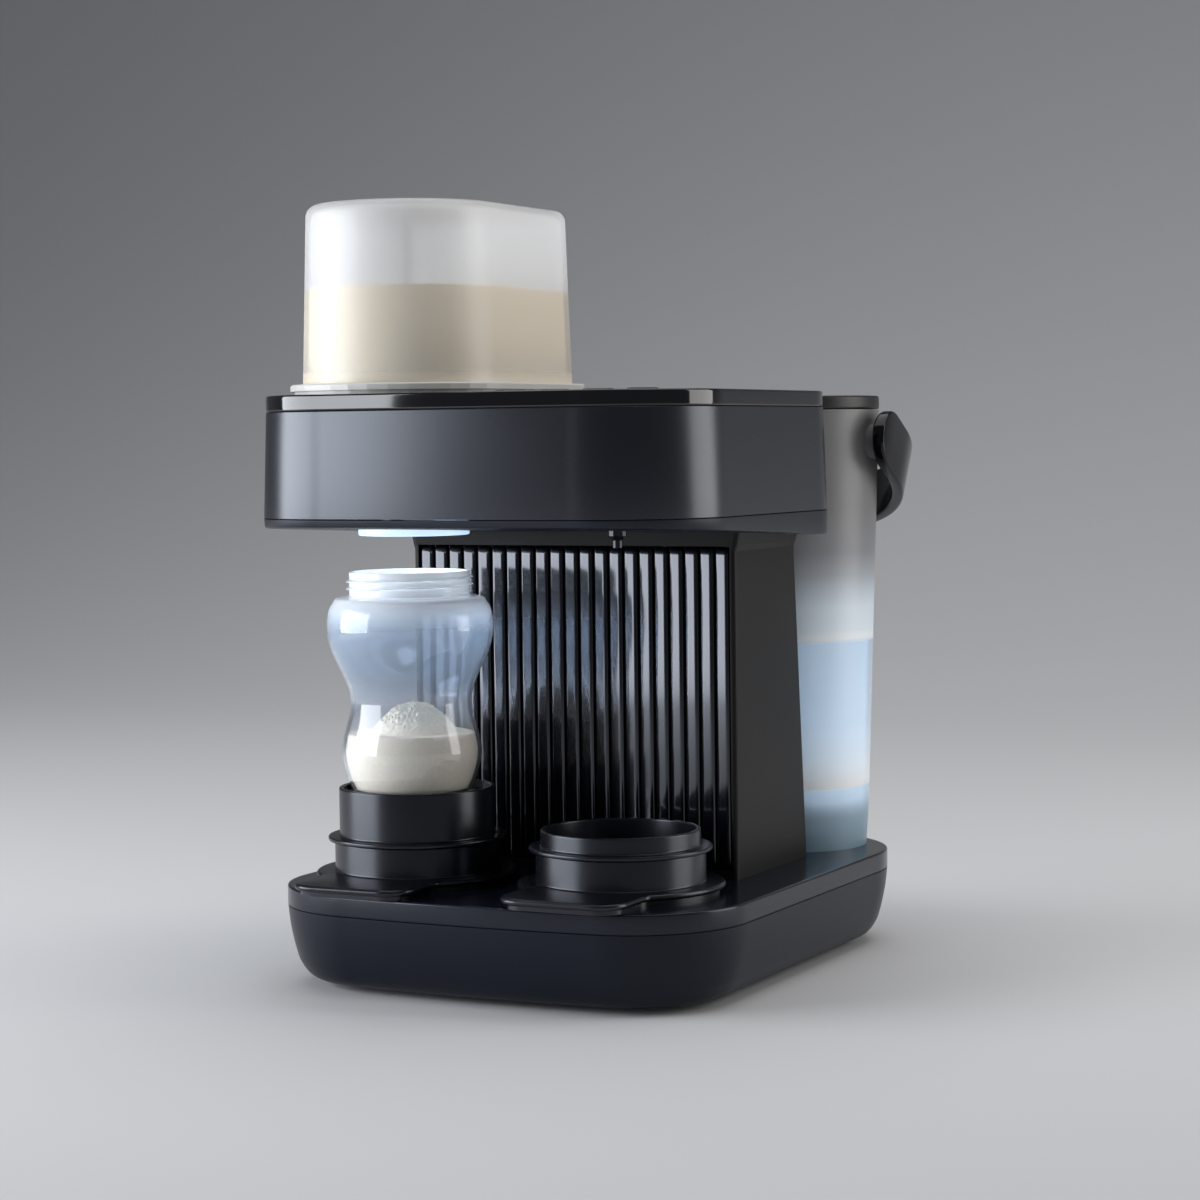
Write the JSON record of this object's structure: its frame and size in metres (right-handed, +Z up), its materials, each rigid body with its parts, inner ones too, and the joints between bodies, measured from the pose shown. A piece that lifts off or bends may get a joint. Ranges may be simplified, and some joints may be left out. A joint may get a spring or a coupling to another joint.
{
  "type": "baby formula maker",
  "caption": "Countertop baby formula maker: powder hopper and head over a fluted column, bottle stands on a deck, and a lift-off water tank with a swing handle behind.",
  "frame": {"origin": "middle of the footprint of everything, on the floor under the feet", "axes": "+Z up, -Y towards the user, +X to the user's right"},
  "size_m": [0.214, 0.2986, 0.3335],
  "materials": {
    "base_tub": "satin",
    "base_cover": "gloss",
    "foot_front_left": "matte",
    "foot_front_right": "matte",
    "foot_rear_left": "matte",
    "foot_rear_right": "matte",
    "base_screw_front": "satin",
    "base_screw_left": "satin",
    "base_screw_right": "satin",
    "base_screw_rear": "satin",
    "mains_inlet": "matte",
    "power_board": "matte",
    "left_holder": "satin",
    "right_holder": "satin",
    "left_adapter": "satin",
    "right_adapter": "satin",
    "bottle": "clear gloss",
    "column_shell": "satin",
    "ribbed_panel": "gloss",
    "column_rear_cover": "satin",
    "head_lower_shell": "satin",
    "head_cover": "satin",
    "head_cap": "gloss",
    "control_panel": "gloss",
    "display_window": "gloss",
    "button_power": "satin",
    "button_less": "satin",
    "button_more": "satin",
    "button_start": "satin",
    "control_board": "matte",
    "light_ring": "satin",
    "powder_chute": "satin",
    "dosing_motor": "satin",
    "motor_bracket": "satin",
    "motor_pinion": "satin",
    "drive_coupling": "satin",
    "dosing_wheel": "satin",
    "agitator": "satin",
    "dosing_shutter": "satin",
    "hopper_base": "satin",
    "hopper_jar": "frosted translucent",
    "water_spout": "satin",
    "flow_heater": "satin",
    "water_pump": "satin",
    "supply_hose": "satin",
    "cold_pipe": "satin",
    "hot_pipe": "satin",
    "tank_body": "frosted translucent",
    "tank_lid": "satin",
    "tank_valve": "satin",
    "tank_spigot_seal": "matte",
    "socket_pin": "satin",
    "tank_handle": "gloss",
    "handle_pin_left": "satin",
    "handle_pin_right": "satin"
  },
  "bodies": {
    "machine": {"base_tub": "base_tub", "base_cover": "base_cover", "foot_front_left": "foot_front_left", "foot_front_right": "foot_front_right", "foot_rear_left": "foot_rear_left", "foot_rear_right": "foot_rear_right", "base_screw_front": "base_screw_front", "base_screw_left": "base_screw_left", "base_screw_right": "base_screw_right", "base_screw_rear": "base_screw_rear", "mains_inlet": "mains_inlet", "power_board": "power_board", "socket_pin": "socket_pin", "water_pump": "water_pump", "supply_hose": "supply_hose", "cold_pipe": "cold_pipe", "hot_pipe": "hot_pipe", "column_shell": "column_shell", "column_rear_cover": "column_rear_cover", "ribbed_panel": "ribbed_panel", "flow_heater": "flow_heater", "head_lower_shell": "head_lower_shell", "head_cover": "head_cover", "head_cap": "head_cap", "control_panel": "control_panel", "display_window": "display_window", "control_board": "control_board", "light_ring": "light_ring", "powder_chute": "powder_chute", "water_spout": "water_spout", "dosing_motor": "dosing_motor", "motor_bracket": "motor_bracket"},
    "button_power": {"button_power": "button_power"},
    "button_less": {"button_less": "button_less"},
    "button_more": {"button_more": "button_more"},
    "button_start": {"button_start": "button_start"},
    "motor_pinion": {"motor_pinion": "motor_pinion"},
    "drive_coupling": {"drive_coupling": "drive_coupling"},
    "hopper": {"hopper_base": "hopper_base", "hopper_jar": "hopper_jar", "dosing_shutter": "dosing_shutter"},
    "dosing_rotor": {"dosing_wheel": "dosing_wheel", "agitator": "agitator"},
    "tank": {"tank_body": "tank_body", "handle_pin_left": "handle_pin_left", "handle_pin_right": "handle_pin_right", "tank_spigot_seal": "tank_spigot_seal"},
    "tank_lid": {"tank_lid": "tank_lid"},
    "tank_handle": {"tank_handle": "tank_handle"},
    "tank_valve": {"tank_valve": "tank_valve"},
    "left_holder": {"left_holder": "left_holder"},
    "left_adapter": {"left_adapter": "left_adapter"},
    "bottle": {"bottle": "bottle"},
    "right_holder": {"right_holder": "right_holder"},
    "right_adapter": {"right_adapter": "right_adapter"}
  },
  "joints": [
    {"name": "button_power_press", "type": "slide", "parent": "machine", "child": "button_power", "axis": [0, 0, -1], "range_m": [0, 0.001], "stiffness_N_per_m": 300},
    {"name": "button_less_press", "type": "slide", "parent": "machine", "child": "button_less", "axis": [0, 0, -1], "range_m": [0, 0.001], "stiffness_N_per_m": 300},
    {"name": "button_more_press", "type": "slide", "parent": "machine", "child": "button_more", "axis": [0, 0, -1], "range_m": [0, 0.001], "stiffness_N_per_m": 300},
    {"name": "button_start_press", "type": "slide", "parent": "machine", "child": "button_start", "axis": [0, 0, -1], "range_m": [0, 0.001], "stiffness_N_per_m": 300},
    {"name": "coupling_spin", "type": "hinge", "parent": "machine", "child": "drive_coupling", "pos_m": [-0.0463, -0.09014, 0.222], "axis": [0, 0, 1], "continuous": true},
    {"name": "pinion_spin", "type": "hinge", "parent": "machine", "child": "motor_pinion", "pos_m": [-0.0463, -0.10714, 0.222], "axis": [0, 0, 1], "continuous": true},
    {"name": "hopper_lift", "type": "slide", "parent": "machine", "child": "hopper", "axis": [0, 0, 1], "range_m": [0, 0.12]},
    {"name": "rotor_spin", "type": "hinge", "parent": "hopper", "child": "dosing_rotor", "pos_m": [-0.0463, -0.09014, 0.24], "axis": [0, 0, 1], "continuous": true},
    {"name": "tank_lift", "type": "slide", "parent": "machine", "child": "tank", "axis": [0, 0, 1], "range_m": [0, 0.12]},
    {"name": "lid_lift", "type": "slide", "parent": "tank", "child": "tank_lid", "axis": [0, 0, 1], "range_m": [0, 0.01]},
    {"name": "handle_swing", "type": "hinge", "parent": "tank", "child": "tank_handle", "pos_m": [0, 0.08726, 0.231], "axis": [1, 0, 0], "range_deg": [0, 119]},
    {"name": "valve_lift", "type": "slide", "parent": "tank", "child": "tank_valve", "axis": [0, 0, 1], "range_m": [0, 0.003]},
    {"name": "left_holder_lift", "type": "slide", "parent": "machine", "child": "left_holder", "axis": [0, 0, 1], "range_m": [0, 0.004]},
    {"name": "left_adapter_lift", "type": "slide", "parent": "left_holder", "child": "left_adapter", "axis": [0, 0, 1], "range_m": [0, 0.004]},
    {"name": "bottle_lift", "type": "slide", "parent": "left_adapter", "child": "bottle", "axis": [0, 0, 1], "range_m": [0, 0.006]},
    {"name": "right_holder_lift", "type": "slide", "parent": "machine", "child": "right_holder", "axis": [0, 0, 1], "range_m": [0, 0.04]},
    {"name": "right_adapter_lift", "type": "slide", "parent": "right_holder", "child": "right_adapter", "axis": [0, 0, 1], "range_m": [0, 0.05]}
  ],
  "couplings": [
    {"joint": "pinion_spin", "follows": "rotor_spin", "ratio": -1.8333},
    {"joint": "coupling_spin", "follows": "rotor_spin", "ratio": 1}
  ]
}
